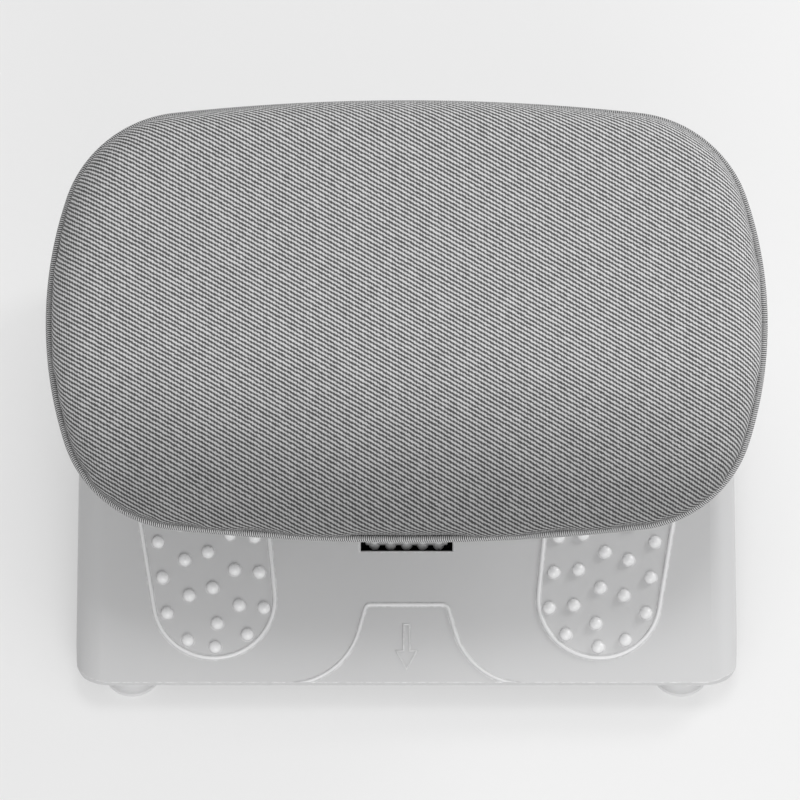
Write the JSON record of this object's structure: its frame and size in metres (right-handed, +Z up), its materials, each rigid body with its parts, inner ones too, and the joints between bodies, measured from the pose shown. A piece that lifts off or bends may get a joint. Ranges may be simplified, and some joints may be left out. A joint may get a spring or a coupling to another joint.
{
  "type": "ergonomic footrest",
  "caption": "Footrest with a wedge massage base, a turning nubbed roller, a clamped telescopic pedestal and a tilting upholstered pad.",
  "frame": {"origin": "on the floor under the centre of the base", "axes": "+Z up, +X to the right as the user sits, +Y away from the user, front towards -Y"},
  "size_m": [0.43, 0.3, 0.2344],
  "materials": {
    "shell_plastic": "fine matte moulded texture",
    "plate_plastic": "matte moulded",
    "foot_rubber": "matte rubber",
    "cradle_plastic": "matte black moulded",
    "roller_plastic": "smooth matte",
    "guide_plastic": "smooth bearing plastic",
    "knob_plastic": "matte moulded",
    "sleeve_paint": "satin powder coat",
    "bracket_paint": "satin powder coat",
    "post_metal": "satin anodised",
    "steel": "zinc plated",
    "insert_brass": "turned",
    "board_wood": "plywood",
    "foam": "open-cell foam",
    "cover_fabric": "coarse two-tone twill",
    "piping_fabric": "twisted piping"
  },
  "bodies": {
    "base": {"base_shell": "shell_plastic", "bottom_plate": "plate_plastic", "case_screws": "steel", "foot_screws": "steel", "front_left_foot": "foot_rubber", "front_right_foot": "foot_rubber", "rear_left_foot": "foot_rubber", "rear_right_foot": "foot_rubber", "roller_cradle": "cradle_plastic", "cradle_screws": "steel", "roller_axle": "steel", "column_sleeve": "sleeve_paint", "column_screws": "steel", "column_collar": "shell_plastic", "upper_guide": "guide_plastic", "clamp_nut": "insert_brass"},
    "roller": {"massage_roller": "roller_plastic", "roller_bushes": "guide_plastic"},
    "clamp_shoe": {"clamp_pad": "guide_plastic"},
    "clamp_screw": {"clamp_stud": "steel", "clamp_knob": "knob_plastic"},
    "lift": {"lift_post": "post_metal", "lower_guide": "guide_plastic", "tilt_yoke": "bracket_paint", "yoke_set_screws": "steel", "tilt_pin": "steel", "pin_nut": "steel", "friction_washers": "guide_plastic", "pin_spacer": "steel"},
    "pad": {"tilt_bracket": "bracket_paint", "bracket_screws": "steel", "cushion_pan": "shell_plastic", "pan_screws": "steel", "cushion_board": "board_wood", "edge_piping": "piping_fabric", "cushion_foam": "foam", "cushion_cover": "cover_fabric"}
  },
  "joints": [
    {"name": "roller_spin", "type": "hinge", "parent": "base", "child": "roller", "pos_m": [0, -0.05277, 0.03398], "axis": [1, 0, 0], "continuous": true},
    {"name": "column_lift", "type": "slide", "parent": "base", "child": "lift", "axis": [0, 0, 1], "range_m": [0, 0.045]},
    {"name": "pad_tilt", "type": "hinge", "parent": "lift", "child": "pad", "pos_m": [0, 0.03, 0.133], "axis": [1, 0, 0], "range_deg": [-18, 12]},
    {"name": "clamp_travel", "type": "slide", "parent": "base", "child": "clamp_shoe", "axis": [0, 1, 0], "range_m": [0, 0.00125]},
    {"name": "clamp_turn", "type": "hinge", "parent": "clamp_shoe", "child": "clamp_screw", "pos_m": [0, 0.06, 0.096], "axis": [0, 1, 0], "range_deg": [0, 360]}
  ],
  "couplings": [
    {"joint": "clamp_turn", "follows": "clamp_travel", "rad_per_m": 5026.5}
  ]
}
